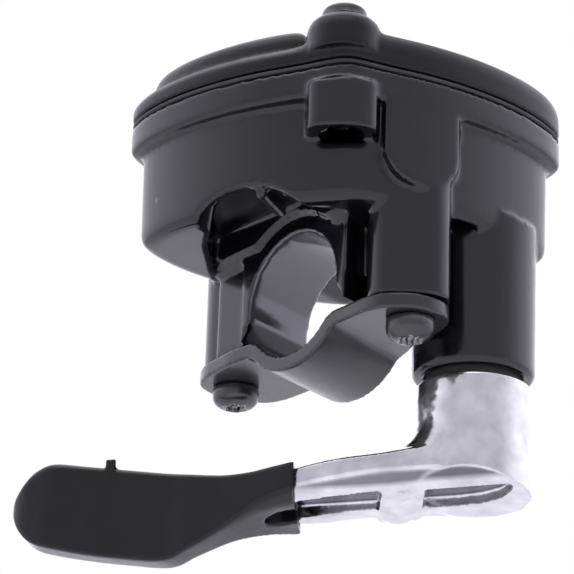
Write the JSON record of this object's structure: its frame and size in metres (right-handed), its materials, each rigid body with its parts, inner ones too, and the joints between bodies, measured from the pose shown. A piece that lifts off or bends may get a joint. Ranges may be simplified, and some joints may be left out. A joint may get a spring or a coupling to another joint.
{
  "type": "handlebar thumb throttle",
  "caption": "Thumb throttle for a quad's handlebar: oval die-cast housing with a screwed cover, strap clamp and a swinging lever with a dipped paddle.",
  "frame": {"origin": "on the handlebar's axis, in the middle of the clamp's width", "axes": "+Z along the lever's shaft towards the cover, +Y along the handlebar away from the grip, +X towards the shaft's side of the bar"},
  "size_m": [0.0901, 0.069, 0.0899],
  "materials": {
    "case_paint": "gloss black paint on a die casting",
    "cover_satin": "satin black",
    "seal_rubber": "matt black rubber",
    "cover_screw_black": "blackened steel",
    "strap_black": "semi-gloss black",
    "clamp_screw_black": "blackened steel with a dull shine",
    "lever_polished": "polished cast metal",
    "grip_vinyl": "glossy black dipped vinyl",
    "plated_steel": "zinc plate",
    "spring_steel": "bright spring wire",
    "bush_bronze": "sintered bronze"
  },
  "bodies": {
    "housing": {"case": "case_paint", "cover": "cover_satin", "gasket": "seal_rubber", "dust_seal": "seal_rubber", "shaft_ring": "seal_rubber", "cover_screw_near": "cover_screw_black", "cover_screw_right": "cover_screw_black", "cover_screw_left": "cover_screw_black", "clamp_strap": "strap_black", "clamp_screw_left": "clamp_screw_black", "clamp_screw_right": "clamp_screw_black", "thrust_washer": "plated_steel", "return_spring": "spring_steel", "bush_lower": "bush_bronze", "bush_upper": "bush_bronze", "cable_inlet": "plated_steel", "stop_screw": "plated_steel", "stop_nut": "plated_steel"},
    "lever": {"lever": "lever_polished", "lever_grip": "grip_vinyl", "cable_arm": "plated_steel", "lock_washer": "plated_steel", "shaft_nut": "plated_steel"}
  },
  "joints": [
    {"name": "lever_swing", "type": "hinge", "parent": "housing", "child": "lever", "pos_m": [0.0224, 0.0141, 0], "axis": [0, 0, 1], "range_deg": [0, 45], "stiffness_Nm_per_rad": 0.15, "springref_deg": -20.05}
  ]
}
